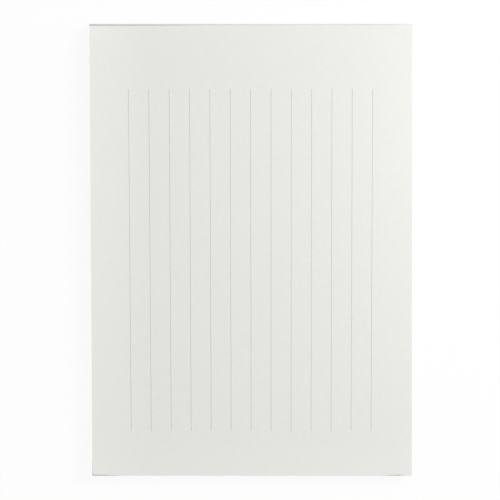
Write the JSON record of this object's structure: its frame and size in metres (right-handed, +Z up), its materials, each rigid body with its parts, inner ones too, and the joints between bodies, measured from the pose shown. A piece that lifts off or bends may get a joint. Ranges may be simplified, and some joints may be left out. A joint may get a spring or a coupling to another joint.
{
  "type": "writing pad",
  "caption": "Flat pad of trimmed writing sheets on a stiff back board, glued along the head and ruled with upright lines down the page.",
  "frame": {"origin": "on the underside, at the middle of the pad's outline", "axes": "+Y up the page from the free foot to the glued head, +X to the right of the page, +Z up out of the page"},
  "size_m": [0.179, 0.2526, 0.0058],
  "materials": {
    "paper": "uncoated, smooth, matte",
    "grey_board": "pressed grey board, matte",
    "glue": "dried flexible glue, satin",
    "ink": "light grey printed ink, matte"
  },
  "bodies": {
    "root": {"sheet_block": "paper", "back_board": "grey_board", "padding_glue": "glue", "ruled_lines": "ink"}
  },
  "joints": []
}
